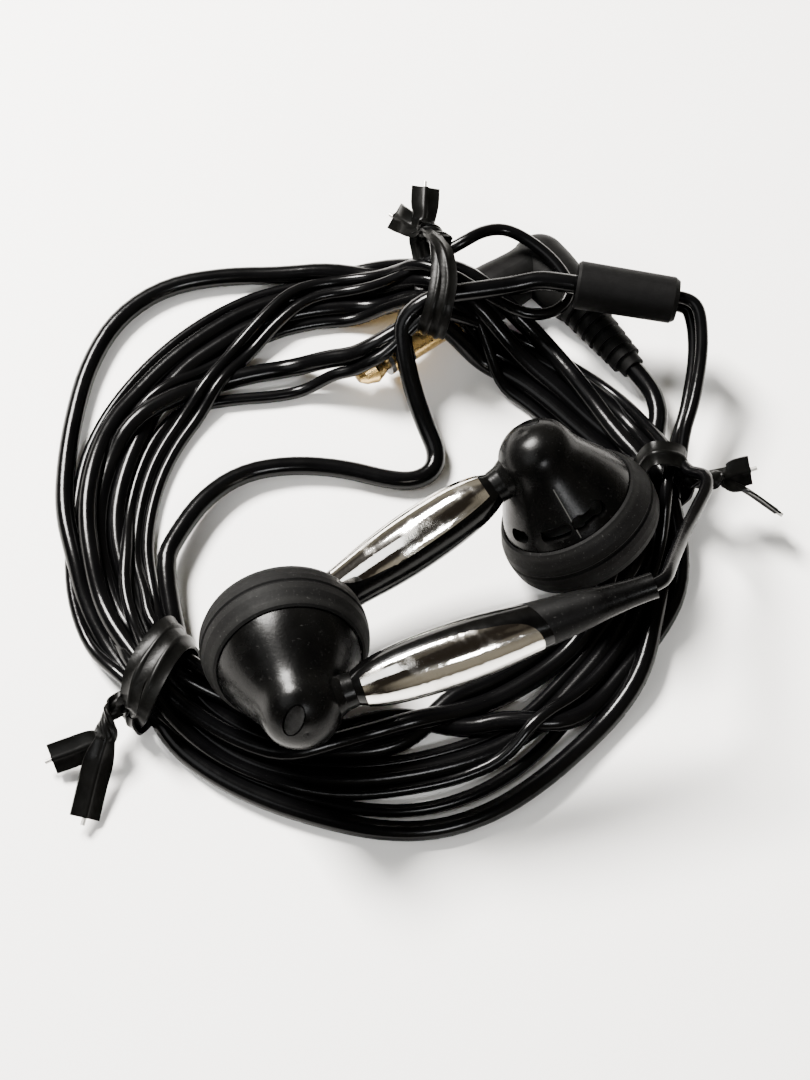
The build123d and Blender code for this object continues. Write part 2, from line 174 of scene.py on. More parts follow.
world = bpy.data.worlds.new("room")
bpy.context.scene.world = world
world.use_nodes = True
sky = world.node_tree
sky_noise = sky.nodes.new("ShaderNodeTexNoise")
sky_noise.inputs["Scale"].default_value = 1.3
sky_noise.inputs["Detail"].default_value = 1.0
sky_ramp = sky.nodes.new("ShaderNodeValToRGB")
sky_ramp.color_ramp.elements[0].position = 0.40
sky_ramp.color_ramp.elements[0].color = (0.07, 0.055, 0.04, 1)
sky_ramp.color_ramp.elements[1].position = 0.62
sky_ramp.color_ramp.elements[1].color = (1.0, 0.90, 0.70, 1)
sky_place = sky.nodes.new("ShaderNodeTexCoord")
sky.links.new(sky_place.outputs["Generated"], sky_noise.inputs["Vector"])
sky.links.new(sky_noise.outputs["Fac"], sky_ramp.inputs["Fac"])
sky.links.new(sky_ramp.outputs["Color"], sky.nodes["Background"].inputs["Color"])
sky.nodes["Background"].inputs["Strength"].default_value = 0.3


def lamp(name, place, target, size, watts, colour):
    data = bpy.data.lights.new(name, "AREA")
    data.shape = "RECTANGLE"
    data.size, data.size_y = size
    data.energy = watts
    data.color = colour
    made = bpy.data.objects.new(name, data)
    made.location = place
    made.rotation_euler = (Vector(target) - Vector(place)).to_track_quat("-Z", "Y").to_euler()
    bpy.context.collection.objects.link(made)


lamp("ceiling_light", place=(-0.24, 0.27, 0.38), target=(0, 0.01, 0), size=(0.15, 0.15),
     watts=21.0, colour=(1.0, 0.97, 0.93))
lamp("window_light", place=(-0.30, -0.10, 0.45), target=(0, 0, 0), size=(0.3, 0.3),
     watts=0.9, colour=(0.97, 0.99, 1.0))
lamp("front_light", place=(0.08, -0.26, 0.30), target=(0.01, 0.005, 0.01), size=(0.07, 0.07),
     watts=0.9, colour=(0.98, 0.99, 1.0))

# ---- The cord ----
# Soft black PVC cord: a 2 mm trunk runs from the plug to the splitter, and a 1.3 mm branch
# from there to each earbud. It is wound by hand and held by three ties, so between the ties
# each turn takes its own way, and the turns lie on the table and on each other.

TRUNK_R = 0.0010
BRANCH_R = 0.00065
COIL_MIDDLE = (-0.005, 0.011)
COIL_RADIUS = 0.028
SAMPLE = 0.0016          # spacing of the points that settle

# Where the three ties stand round the coil, in degrees, and where the plug's shaft ends. An
# arc runs from one to the next.
TOP_TIE, LEFT_TIE, RIGHT_TIE = 77, 218, 7
PAST_PLUG = 104
ARCS = {"left": (TOP_TIE, LEFT_TIE), "past_plug": (PAST_PLUG, LEFT_TIE),
        "bottom": (LEFT_TIE, RIGHT_TIE + 360), "right": (RIGHT_TIE, TOP_TIE)}


def on_coil(angle, radius, height):
    turn = math.radians(angle)
    return Vector((COIL_MIDDLE[0] + radius * math.cos(turn),
                   COIL_MIDDLE[1] + radius * math.sin(turn), height))


def between(values, share):
    """A smooth curve through evenly spaced values, read at a share of its length."""
    values = [2 * values[0] - values[1], *values, 2 * values[-1] - values[-2]]
    place = share * (len(values) - 3)
    i = min(int(place), len(values) - 4)
    t = place - i
    a, b, c, d = values[i:i + 4]
    return 0.5 * (2 * b + (c - a) * t + (2 * a - 5 * b + 4 * c - d) * t * t
                  + (3 * b - a - 3 * c + d) * t ** 3)


def turn_points(arc, start, lane, height, end):
    """Points of one turn between two ties. start and end are its place in each tie, as a
    radius and a height, and lane is its radius on the way."""
    first, last = ARCS[arc]
    length = math.radians(last - first) * COIL_RADIUS
    count = round(length / SAMPLE)
    radii = [start[0], *lane, end[0]]
    heights = [start[1], *[height] * len(lane), end[1]]
    return [on_coil(first + (last - first) * k / count, between(radii, k / count),
                    between(heights, k / count)) for k in range(count + 1)]


def held(points):
    """A stretch of cord that keeps its shape."""
    return {"points": [Vector(p) for p in points], "loose": False}


def wound(arc, start, lane, height, end):
    """A stretch of cord that is wound from one tie to the next, and settles."""
    return {"points": turn_points(arc, start, lane, height, end), "loose": True}


def wound_back(arc, start, lane, height, end, short=0):
    """The same, passed the other way, and cut short by some points."""
    points = turn_points(arc, start, lane, height, end)[::-1]
    return {"points": points[:len(points) - short], "loose": True}


# Places inside each tie, as (radius, height). The trunk's are in the order that it passes.
TOP_TRUNK = [(0.0230, 0.0092), (0.0288, 0.0069), (0.0267, 0.0069), (0.0222, 0.0069),
             (0.0246, 0.0069)]
LEFT_TRUNK = [(0.0255, 0.0017), (0.0297, 0.0018), (0.0286, 0.0038), (0.0265, 0.0038),
              (0.0276, 0.0017)]
RIGHT_TRUNK = [(0.0285, 0.0037), (0.0297, 0.0016), (0.0276, 0.0016), (0.0292, 0.0058),
               (0.0255, 0.0016)]
TOP_THIN = [(0.0290, 0.0087), (0.0216, 0.0083), (0.0248, 0.0088), (0.0262, 0.0088),
            (0.0276, 0.0088)]
LEFT_THIN = [(0.0304, 0.0036), (0.0276, 0.0055), (0.0292, 0.0055), (0.0260, 0.0055),
             (0.0248, 0.0034)]
RIGHT_THIN = [(0.0302, 0.0039), (0.0276, 0.0062), (0.0288, 0.0075), (0.0268, 0.0031)]

trunk_lead = [(0.0163, 0.0346, 0.0092), (0.0135, 0.0350, 0.0094), (0.0112, 0.0354, 0.0093),
              (0.0090, 0.0349, 0.0090), (0.0052, 0.0342, 0.0091)]
trunk_inner_loop = [(-0.0030, 0.0316, 0.0075), (-0.0027, 0.0286, 0.0060),
                    (-0.0018, 0.0253, 0.0039), (-0.0005, 0.0221, 0.0021),
                    (0.00075, 0.0195, 0.0012), (0.0004, 0.0173, 0.00105),
                    (-0.0016, 0.0161, 0.00102), (-0.0044, 0.0163, 0.00105),
                    (-0.0090, 0.0176, 0.0011), (-0.0144, 0.0180, 0.0012),
                    (-0.0196, 0.0169, 0.0014), (-0.0234, 0.0137, 0.0017),
                    (-0.0259, 0.0092, 0.0021), (-0.0270, 0.0060, 0.0025)]
plug_lead = [(0.0238, 0.0215, 0.0032), (0.0236, 0.0245, 0.0032), (0.0226, 0.0267, 0.0032),
             (0.0214, 0.0283, 0.0032)]

# The lane of each turn of the trunk between the ties, as radii, and the height that it starts
# to settle from. The first turn comes in by the inner loop, and has no lane on the left.
TRUNK_LANES = {
    "left": [None, (0.0306, 0.0380, 0.0343, 0.0306), (0.0287, 0.0290, 0.0297, 0.0288),
             (0.0226, 0.0278, 0.0284, 0.0272), (0.0268, 0.0277, 0.0281, 0.0270)],
    "bottom": [(0.0262, 0.0220, 0.0212, 0.0240), (0.0300, 0.0327, 0.0308, 0.0290),
               (0.0264, 0.0221, 0.0213, 0.0243), (0.0240, 0.0216, 0.0270, 0.0292),
               (0.0283, 0.0270, 0.0264, 0.0260)],
    "right": [(0.0253, 0.0270), (0.0252, 0.0243), (0.0243, 0.0226), (0.0269, 0.0253)],
}
TRUNK_HEIGHTS = {"left": [None, 0.0020, 0.0035, 0.0022, 0.0012],
                 "bottom": [0.0012, 0.0012, 0.0040, 0.0012, 0.0012],
                 "right": [0.0055, 0.0035, 0.0015, 0.0015]}

# Two strands leave the top tie over the plug's shaft, and hide all but its tip.
trunk_over_plug = [on_coil(82, 0.0208, 0.0067), on_coil(88, 0.0192, 0.0063),
                   on_coil(94, 0.0184, 0.0056), on_coil(100, 0.0184, 0.0043)]
thin_over_plug = [on_coil(82, 0.0197, 0.0071), on_coil(88, 0.0176, 0.0060),
                  on_coil(94, 0.0168, 0.0054), on_coil(100, 0.0169, 0.0038)]

TRUNK_PAST_PLUG = (0.0188, 0.0034)
THIN_PAST_PLUG = (0.0173, 0.0030)
PLUG_TURN = 3            # the turn of the trunk that runs over the plug

trunk = [held(trunk_lead), held([on_coil(TOP_TIE, *TOP_TRUNK[0])]), held(trunk_inner_loop)]
last_turn = len(LEFT_TRUNK) - 1
for turn in range(last_turn + 1):
    to_left = TRUNK_LANES["left"][turn], TRUNK_HEIGHTS["left"][turn], LEFT_TRUNK[turn]
    if turn == PLUG_TURN:
        trunk.append(held([on_coil(TOP_TIE, *TOP_TRUNK[turn]), *trunk_over_plug]))
        trunk.append(wound("past_plug", TRUNK_PAST_PLUG, *to_left))
    elif turn:
        trunk.append(wound("left", TOP_TRUNK[turn], *to_left))
    trunk.append(wound("bottom", LEFT_TRUNK[turn], TRUNK_LANES["bottom"][turn],
                       TRUNK_HEIGHTS["bottom"][turn], RIGHT_TRUNK[turn]))
    if turn < last_turn:
        trunk.append(wound("right", RIGHT_TRUNK[turn], TRUNK_LANES["right"][turn],
                           TRUNK_HEIGHTS["right"][turn], TOP_TRUNK[turn + 1]))
trunk.append(held(plug_lead))

left_branch_lead = [(0.02545, 0.0332, 0.0095), (0.0266, 0.0330, 0.0095), (0.0276, 0.0321, 0.00935),
                    (0.0279, 0.0304, 0.00895), (0.0279, 0.0277, 0.00825),
                    (0.0274, 0.0246, 0.00745), (0.0267, 0.0216, 0.00685),
                    (0.0257, 0.0189, 0.00635)]
right_branch_lead = [(0.02545, 0.0332, 0.0078), (0.0266, 0.0330, 0.0078),
                     (0.0270, 0.0321, 0.00765), (0.0273, 0.0304, 0.00725),
                     (0.0273, 0.0277, 0.00655), (0.0268, 0.0246, 0.00575),
                     (0.0261, 0.0216, 0.00515), (0.0251, 0.0189, 0.00465)]
left_bud_lead = [(0.0202, -0.00294, 0.0178), (0.0210, -0.0026, 0.01785), (0.0216, -0.0016, 0.0173),
                 (0.0221, -0.0001, 0.0163), (0.0231, 0.0024, 0.0145), (0.0243, 0.0052, 0.0127),
                 (0.0258, 0.0083, 0.0112), (0.0271, 0.0110, 0.0101), (0.0272, 0.0126, 0.0093),
                 (0.0264, 0.0134, 0.0083), (0.0256, 0.0140, 0.0074)]
right_bud_lead = [(-0.01803, -0.00403, 0.0038), (-0.0194, -0.0049, 0.0034),
                  (-0.0205, -0.0058, 0.0031), (-0.0215, -0.0065, 0.0030)]
right_inner_lead = [(-0.0144, -0.0102, 0.0013), (-0.0114, -0.0090, 0.0011),
                    (-0.0074, -0.0059, 0.0008), (-0.0024, -0.0026, 0.0007),
                    (0.0030, -0.0001, 0.0007), (0.0084, 0.0017, 0.00075),
                    (0.0136, 0.0027, 0.0009), (0.0168, 0.0037, 0.0011), (0.0186, 0.0052, 0.0014)]
top_loop = [(0.0036, 0.0402, 0.0091), (0.0056, 0.0420, 0.0084), (0.0080, 0.0426, 0.0080),
            (0.0105, 0.0414, 0.0076), (0.0130, 0.0392, 0.0073), (0.0147, 0.0366, 0.0068),
            (0.0144, 0.0343, 0.0063), (0.0122, 0.0330, 0.0061), (0.0088, 0.0330, 0.0067)]

left_branch = [
    held(left_branch_lead),
    wound_back("bottom", LEFT_THIN[0], (0.0290, 0.0304, 0.0286, 0.0284), 0.0010, RIGHT_THIN[0]),
    wound_back("left", TOP_THIN[0], (0.0303, 0.0313, 0.0314, 0.0313), 0.0010, LEFT_THIN[0]),
    wound_back("right", RIGHT_THIN[1], (0.0232, 0.0216), 0.0045, TOP_THIN[0]),
    wound_back("bottom", LEFT_THIN[1], (0.0268, 0.0254, 0.0249, 0.0258), 0.0012, RIGHT_THIN[1]),
    wound_back("past_plug", THIN_PAST_PLUG, (0.0190, 0.0254, 0.0268, 0.0268), 0.0030,
               LEFT_THIN[1]),
    held([*thin_over_plug[::-1], on_coil(TOP_TIE, *TOP_THIN[1])]),
    wound_back("right", RIGHT_THIN[2], (0.0284, 0.0260), 0.0050, TOP_THIN[1], short=2),
    held(left_bud_lead[::-1]),
]
right_branch = [
    held(right_branch_lead),
    wound_back("bottom", LEFT_THIN[2], (0.0284, 0.0271, 0.0266, 0.0266), 0.0035, RIGHT_THIN[2]),
    wound_back("left", TOP_THIN[2], (0.0262, 0.0262, 0.0306, 0.0302), 0.0030, LEFT_THIN[2]),
    wound_back("right", RIGHT_THIN[3], (0.0262, 0.0234), 0.0030, TOP_THIN[2]),
    held(right_inner_lead[::-1]),
    wound_back("left", TOP_THIN[3], (0.0284, 0.0238, 0.0236, 0.0250), 0.0070, LEFT_THIN[3]),
    held(top_loop),
    wound("left", TOP_THIN[4], (0.0296, 0.0254, 0.0250, 0.0262), 0.0075, LEFT_THIN[4]),
    held(right_bud_lead[::-1]),
]


# The wound stretches settle as real cord does: each sinks until it rests on the table or on
# another strand, keeps smooth, and is pushed out of the earbuds, the plug and the splitter.
STEM_LEVEL = 0.0114      # an earbud's nose and stem above the front of its ear ring


def bud_frame(nose, nose_way, stem_way):
    """An earbud's own frame: z towards its nose, x along its stem."""
    z = Vector(nose_way).normalized()
    x = Vector(stem_way)
    x = (x - z * x.dot(z)).normalized()
    turned = Matrix((x, z.cross(x), z)).transposed().to_4x4()
    return Matrix.Translation(Vector(nose) - z * STEM_LEVEL) @ turned


LEFT_BUD = bud_frame((-0.01211, -0.01310, 0.01320), (0.210, -0.871, 0.445),
                     (0.945, 0.297, 0.135))
RIGHT_BUD = bud_frame((0.01038, 0.01239, 0.01345), (-0.481, 0.362, 0.799),
                      (-0.831, -0.480, -0.282))
PLUG_TURNED = math.radians(36)
PLUG_WAY = Vector((math.cos(PLUG_TURNED), math.sin(PLUG_TURNED), 0))
PLUG_LEG_WAY = Vector((PLUG_WAY.y, -PLUG_WAY.x, 0))
PLUG_TIP = Vector((-0.0077, 0.0272, 0.0032))
PLUG_LENGTH = 0.0242     # from the tip to the middle of the elbow
PLUG_ELBOW = PLUG_TIP + PLUG_WAY * PLUG_LENGTH
SPLITTER_END = Vector((0.0151, 0.0348, 0.0093))
SPLITTER_WAY = (Vector((0.0254, 0.0332, 0.0087)) - SPLITTER_END).normalized()

# An obstacle is a turned shape: where it starts, its way, places along that way and its radii.
obstacles = [
    (PLUG_TIP, PLUG_WAY, (0, 0.014, 0.0145, 0.018, 0.0272),
     (0.00175, 0.00175, 0.0025, 0.0031, 0.0031)),
    (PLUG_ELBOW, PLUG_LEG_WAY, (0, 0.003, 0.0066, 0.0162), (0.0031, 0.0031, 0.0024, 0.0017)),
    (SPLITTER_END, SPLITTER_WAY, (0, 0.0106), (0.0025, 0.0025)),
]
for bud in (LEFT_BUD, RIGHT_BUD):
    nose_way = bud.to_3x3() @ Vector((0, 0, 1))
    stem_way = bud.to_3x3() @ Vector((1, 0, 0))
    obstacles.append((bud.translation, nose_way,
                      (0, 0.0016, 0.0034, 0.0054, 0.0075, 0.0095, 0.0134, 0.0149),
                      (0.0074, 0.0082, 0.0082, 0.0071, 0.0060, 0.0048, 0.0036, 0.0020)))
    obstacles.append((bud @ Vector((0, 0, STEM_LEVEL)), stem_way,
                      (0.004, 0.008, 0.014, 0.0228, 0.0342),
                      (0.0017, 0.0026, 0.003, 0.0024, 0.0013)))


NOT_ZERO = 1e-9          # added to a distance that is divided by


def push_out(points, radii):
    """Moves points out of the obstacles, by the shorter of the ways out."""
    for start, way, along, widths in obstacles:
        way = np.array(way)
        offset = points - np.array(start)
        depth = offset @ way
        side = offset - depth[:, None] * way
        away = np.linalg.norm(side, axis=1) + NOT_ZERO
        room = np.interp(depth, along, widths) + radii
        inside = (depth > along[0] - radii) & (depth < along[-1] + radii) & (away < room)
        out = room - away
        before = depth - (along[0] - radii)
        front = inside & (before < out)
        beside = inside & ~front
        points[beside] += (side / away[:, None] * out[:, None])[beside]
        points[front] -= way * before[front, None]


SETTLE_ROUNDS = 320
PAIRS_EVERY = 10         # rounds between looks for the pairs of points that may touch
PAIR_MARGIN = 0.0015     # how far off a touch a pair may be
NEIGHBOURS = 5           # points along one cord that can't push each other
SINK = 0.00005           # how far a loose point sinks in a round
LANE_PULL = 0.03         # share of its way back to its lane that a point moves in a round
SMOOTHING = 0.7          # share of its way to a smooth curve
PUSH = 0.9               # share of an overlap that is undone


def settle(cords):
    """Lets the loose points of all cords come to rest. Each cord is (points, loose, radius)."""
    points = np.array([p for cord in cords for p in cord[0]])
    loose = np.array([x for cord in cords for x in cord[1]])
    radii = np.array([cord[2] for cord in cords for _ in cord[0]])
    owner = np.array([k for k, cord in enumerate(cords) for _ in cord[0]])
    lane = points.copy()
    order = np.arange(len(points))
    inner = order[2:-2]
    inner = inner[loose[inner] & (owner[inner - 2] == owner[inner + 2])]
    for step in range(SETTLE_ROUNDS):
        if step % PAIRS_EVERY == 0:
            gap = np.linalg.norm(points[:, None] - points[None], axis=2)
            after = order[None] - order[:, None]
            near = (gap < radii[:, None] + radii[None] + PAIR_MARGIN) & (after > 1)
            near &= (owner[:, None] != owner[None]) | (after > NEIGHBOURS)
            near &= loose[:, None] | loose[None]
            one, two = np.nonzero(near)
        points[loose, 2] -= SINK
        points[loose, :2] += LANE_PULL * (lane - points)[loose, :2]
        smooth = (4 * (points[inner - 1] + points[inner + 1])
                  - points[inner - 2] - points[inner + 2]) / 6
        points[inner] += SMOOTHING * (smooth - points[inner])
        apart = points[two] - points[one]
        gap = np.linalg.norm(apart, axis=1) + NOT_ZERO
        lack = np.maximum(0, radii[one] + radii[two] - gap)
        share = loose[one].astype(float) + loose[two]
        push = apart * (PUSH * lack / gap / np.maximum(share, 1))[:, None]
        np.add.at(points, one, -push * loose[one][:, None])
        np.add.at(points, two, push * loose[two][:, None])
        kept = points[~loose].copy()
        push_out(points, radii)
        points[~loose] = kept
        points[loose, 2] = np.maximum(points[loose, 2], radii[loose])
    place = 0
    rested = []
    for cord in cords:
        rested.append([Vector(p) for p in points[place:place + len(cord[0])]])
        place += len(cord[0])
    return rested


TIE_HOLD = 2             # points at each end of a turn that a tie holds still
KEPT = 3                 # of the points that settled, one in so many shapes the cord


def laid_out(stretches, radius):
    """The points of a whole cord, which of them are loose, its radius, and which points
    shape it."""
    points, loose, chosen = [], [], []
    for part in stretches:
        count = len(part["points"])
        points += part["points"]
        for k in range(count):
            loose.append(part["loose"] and TIE_HOLD <= k < count - TIE_HOLD)
            chosen.append(not part["loose"] or (k % KEPT == 1 and k < count - 1))
    return points, loose, radius, chosen


def bare_cord(name, points, radius):
    """One smooth curve with a round section."""
    data = bpy.data.curves.new(name, "CURVE")
    data.dimensions = "3D"
    line = data.splines.new("NURBS")
    line.points.add(len(points) - 1)
    for point, place in zip(line.points, points):
        point.co = (*place, 1)
    line.order_u = 3
    line.use_endpoint_u = True
    data.resolution_u = 4
    data.bevel_depth = radius
    data.bevel_resolution = 5
    data.use_fill_caps = True
    made = bpy.data.objects.new(name, data)
    bpy.context.collection.objects.link(made)
    return made


plans = [laid_out(trunk, TRUNK_R), laid_out(left_branch, BRANCH_R),
         laid_out(right_branch, BRANCH_R)]
rested = settle([plan[:3] for plan in plans])

cord_pvc = Finish("cord_pvc", IOR=1.2)
cord_pvc.set("Base Color", cord_pvc.ramped(cord_pvc.noise(160.0, 4.0),
                                           (0.35, (0.0006, 0.0006, 0.0007)),
                                           (0.75, (0.0014, 0.0014, 0.0015))))
cord_pvc.set("Roughness", 0.12 + cord_pvc.noise(420.0, 5.0) * 0.14)
cord_pvc.set("Normal", cord_pvc.bump(cord_pvc.noise(1400.0, 3.0), 0.00004, 0.35))

cord_names = ("trunk_cord", "left_branch_cord", "right_branch_cord")
for name, plan, points in zip(cord_names, plans, rested):
    kept = [p for p, wanted in zip(points, plan[3]) if wanted]
    made = bare_cord(name, kept, plan[2])
    made.data.materials.append(cord_pvc.material)
    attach(made, "earphones")
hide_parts("cord_coil", "trunk_lead", "trunk_inner_loop")
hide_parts("left_branch_lead", "left_bud_lead")
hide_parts("right_branch_lead", "right_bud_lead", "right_inner_lead")

# ---- The twist ties ----
# Three flat strips of black plastic, each with a soft steel wire moulded into its middle. A
# strip goes once or twice round the bundle, its ends are twisted together and its tails stick
# out flat. Each is one sheet of constant thickness that narrows where it is twisted.

STRIP_T = 0.00024
STRIP_W = 0.0030
TWISTED_W = 0.0019
WIRE_RIB = 0.00030       # height of the rib that the wire makes in the strip
ROW_STEPS = 6            # cross-sections from one row of a strip to the next
TWIST_STEPS = 4          # rows along a twisted end, after its first
CREASE = math.radians(40)


def ribbon(name, rows):
    """A strip along a smooth path. Each row is its middle, the way it faces and its width."""
    count = (len(rows) - 1) * ROW_STEPS
    middles = [between([Vector(row[0]) for row in rows], k / count) for k in range(count + 1)]
    facing = [between([Vector(row[1]).normalized() for row in rows], k / count)
              for k in range(count + 1)]
    widths = [between([row[2] for row in rows], k / count) for k in range(count + 1)]
    built = bmesh.new()
    rings = []
    for k, middle in enumerate(middles):
        ahead = middles[min(k + 1, count)] - middles[max(k - 1, 0)]
        side = facing[k].cross(ahead).normalized()
        out = ahead.cross(side).normalized()
        half, rib, thin = widths[k] / 2, WIRE_RIB, STRIP_T / 2
        edge = [(-half, -thin), (-1.3 * rib, -thin), (-0.7 * rib, -0.85 * rib), (0, -1.1 * rib),
                (0.7 * rib, -0.85 * rib), (1.3 * rib, -thin), (half, -thin)]
        edge += [(-x, -z) for x, z in edge]
        rings.append([built.verts.new(middle + side * x + out * z) for x, z in edge])
    for one, two in zip(rings, rings[1:]):
        for k in range(len(one)):
            after = (k + 1) % len(one)
            built.faces.new((one[k], one[after], two[after], two[k]))
    built.faces.new(rings[0][::-1])
    built.faces.new(rings[-1])
    bmesh.ops.recalc_face_normals(built, faces=built.faces)
    mesh = bpy.data.meshes.new(name)
    built.to_mesh(mesh)
    built.free()
    made = bpy.data.objects.new(name, mesh)
    bpy.context.collection.objects.link(made)
    bpy.context.view_layer.objects.active = made
    made.select_set(True)
    bpy.ops.object.shade_smooth_by_angle(angle=CREASE)
    made.select_set(False)
    return made


def twist(start, end, turns, phase, radius):
    """One of the two ends that are twisted together, from start to end."""
    start, end = Vector(start), Vector(end)
    way = (end - start).normalized()
    side = way.cross(Vector((0, 0, 1))).normalized()
    lift = side.cross(way)
    rows = []
    for k in range(TWIST_STEPS + 1):
        turn = phase + 2 * math.pi * turns * k / TWIST_STEPS
        out = side * math.cos(turn) + lift * math.sin(turn)
        rows.append((start + (end - start) * (k / TWIST_STEPS) + out * radius, out, TWISTED_W))
    return rows


def band(places, width, middle):
    """Rows of a strip wound round the bundle. Places are (angle, radius, height) in mm, and
    the strip faces away from the bundle's middle, given as (radius, height)."""
    rows = []
    for angle, radius, height in places:
        place = on_coil(angle, radius / 1000, height / 1000)
        rows.append((place, place - on_coil(angle, middle[0] / 1000, middle[1] / 1000), width))
    return rows


tie_strip = Finish("tie_strip", IOR=1.15)
tie_strip.set("Base Color", tie_strip.ramped(tie_strip.noise(500.0, 4.0),
                                             (0.35, (0.0009, 0.0009, 0.0008)),
                                             (0.75, (0.0024, 0.0024, 0.0022))))
tie_strip.set("Roughness", 0.24 + tie_strip.noise(900.0, 4.0) * 0.2)
tie_strip.set("Normal", tie_strip.bump(tie_strip.noise(1500.0, 4.0), 0.00006, 0.5))

tie_wire = Finish("tie_wire", Metallic=1.0, Base_Color=(0.45, 0.44, 0.42, 1))
tie_wire.set("Roughness", 0.35 + tie_wire.noise(3000.0) * 0.2)

top_knot = ((0.0013, 0.0405, 0.0088), (-0.0007, 0.0424, 0.0088))
top_tie = ribbon("top_tie", [
    ((-0.0004, 0.0468, 0.0094), (0.2, -0.3, 1), STRIP_W),
    ((-0.0005, 0.0449, 0.0092), (0.25, -0.3, 1), STRIP_W),
    ((-0.0006, 0.0433, 0.0090), (0.4, -0.3, 1), STRIP_W * 0.85),
    *twist(*top_knot[::-1], turns=0.6, phase=0.3, radius=0.00055),
    *band([(80, 29.6, 10.6), (76.5, 27.3, 11.6), (73.5, 24.2, 11.4), (72.5, 21.3, 10.4),
           (73.0, 19.9, 8.2), (74.5, 20.4, 6.2), (77, 24.5, 5.7), (80, 28.8, 5.9),
           (81.5, 30.9, 7.4), (80.5, 30.4, 9.8), (78.0, 28.0, 11.3), (76.0, 24.6, 11.3),
           (75.5, 21.5, 10.5), (76.5, 20.0, 8.4), (78, 20.6, 6.1), (80, 25.0, 5.7),
           (82, 29.4, 5.9), (83.0, 31.2, 7.4)],
          width=0.0018, middle=(25.4, 8.4)),
    *twist(*top_knot, turns=0.6, phase=3.4, radius=0.00055),
    ((-0.0017, 0.0427, 0.0083), (-0.5, -0.6, 1), STRIP_W * 0.8),
    ((-0.0028, 0.0436, 0.0080), (-0.3, -0.9, 0.7), STRIP_W),
    ((-0.0037, 0.0446, 0.0074), (-0.2, -0.5, 1), STRIP_W),
])

left_knot = ((-0.0301, -0.0088, 0.0042), (-0.0316, -0.0124, 0.0030))
left_tie = ribbon("left_tie", [
    ((-0.0367, -0.0142, 0.0016), (0.2, -0.5, 1), STRIP_W),
    ((-0.0346, -0.0136, 0.0021), (0.2, -0.5, 1), STRIP_W),
    ((-0.0328, -0.0130, 0.0026), (0.3, -0.4, 1), STRIP_W * 0.9),
    *twist(*left_knot[::-1], turns=0.75, phase=0.5, radius=0.0007),
    *band([(221, 31.9, 5.2), (218.5, 29.8, 6.9), (216.0, 27.0, 7.2), (214.0, 24.8, 6.7),
           (213.0, 23.5, 4.9), (213.5, 23.4, 2.2), (215, 24.6, 0.4), (217, 28.0, 0.3),
           (219, 31.2, 0.5), (221.5, 32.1, 2.6), (223.0, 31.6, 5.3), (222.0, 29.6, 7.1),
           (219.5, 27.0, 7.4), (217.5, 24.8, 6.9), (216.5, 23.4, 4.9), (217, 23.3, 2.2),
           (218.5, 24.6, 0.5), (220, 28.0, 0.4), (221.5, 31.4, 0.9), (222, 32.7, 2.6)],
          width=0.0026, middle=(27.7, 3.5)),
    *twist(*left_knot, turns=0.75, phase=3.6, radius=0.0007),
    ((-0.0320, -0.0146, 0.0026), (0.6, -0.2, 1), STRIP_W),
    ((-0.0326, -0.0172, 0.0020), (0.6, -0.2, 1), STRIP_W),
    ((-0.0332, -0.0200, 0.0013), (0.6, -0.2, 1), STRIP_W),
])

right_knot = ((0.0260, 0.0139, 0.0062), (0.0288, 0.0138, 0.0058))
right_tie = ribbon("right_tie", [
    ((0.0322, 0.0149, 0.0060), (0.2, -0.8, 1), STRIP_W),
    ((0.0308, 0.0145, 0.0060), (0.2, -0.8, 1), STRIP_W),
    ((0.0298, 0.0141, 0.0060), (0.2, -0.5, 1), STRIP_W * 0.8),
    *twist(*right_knot[::-1], turns=0.8, phase=0.9, radius=0.0007),
    *band([(8.5, 30.6, 7.4), (9, 29.0, 8.4), (9.5, 27.4, 8.2), (9.5, 26.6, 6.0), (9, 26.2, 4.3),
           (8.5, 24.9, 3.2), (8, 24.0, 1.7), (8, 25.0, 0.3), (7.5, 28.0, 0.25), (7, 30.6, 0.4),
           (6.5, 31.4, 2.4), (6, 31.5, 4.6)], width=0.0026, middle=(28.6, 3.6)),
    *twist(*right_knot, turns=0.8, phase=4.0, radius=0.0007),
    ((0.0300, 0.0137, 0.0056), (0.4, 0.4, 1), STRIP_W * 0.8),
    ((0.0318, 0.0131, 0.0050), (0.4, 0.9, 0.5), STRIP_W),
    ((0.0350, 0.0114, 0.0036), (0.4, 0.9, 0.5), STRIP_W),
])
for made, node in ((top_tie, "tie_top"), (left_tie, "tie_left"), (right_tie, "tie_right")):
    made.data.materials.append(tie_strip.material)
    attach(made, "earphones")
    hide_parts(node)
    dress(f"{node}_wire", tie_wire)

# ---- The splitter ----
# A short tube of matte black rubber that covers the fork in the cord, with a lipped open end.
# It is moulded on its own and slid over the cord.

splitter_rubber = Finish("splitter_rubber", IOR=1.15)
splitter_rubber.set("Base Color", splitter_rubber.ramped(splitter_rubber.noise(900.0, 6.0, 0.7),
                                                         (0.35, 0.0010), (0.72, 0.0022),
                                                         (0.80, (0.011, 0.011, 0.0105))))
splitter_rubber.set("Roughness", 0.5 + splitter_rubber.noise(1500.0, 4.0) * 0.25)
splitter_rubber.set("Normal", splitter_rubber.bump(splitter_rubber.noise(5000.0, 3.0),
                                                   0.00002, 0.6))
dress("splitter", splitter_rubber)

# ---- The plug ----
# A gold-plated three-contact plug in a right-angled body of moulded PVC, whose ribbed tail
# keeps the cord from kinking.

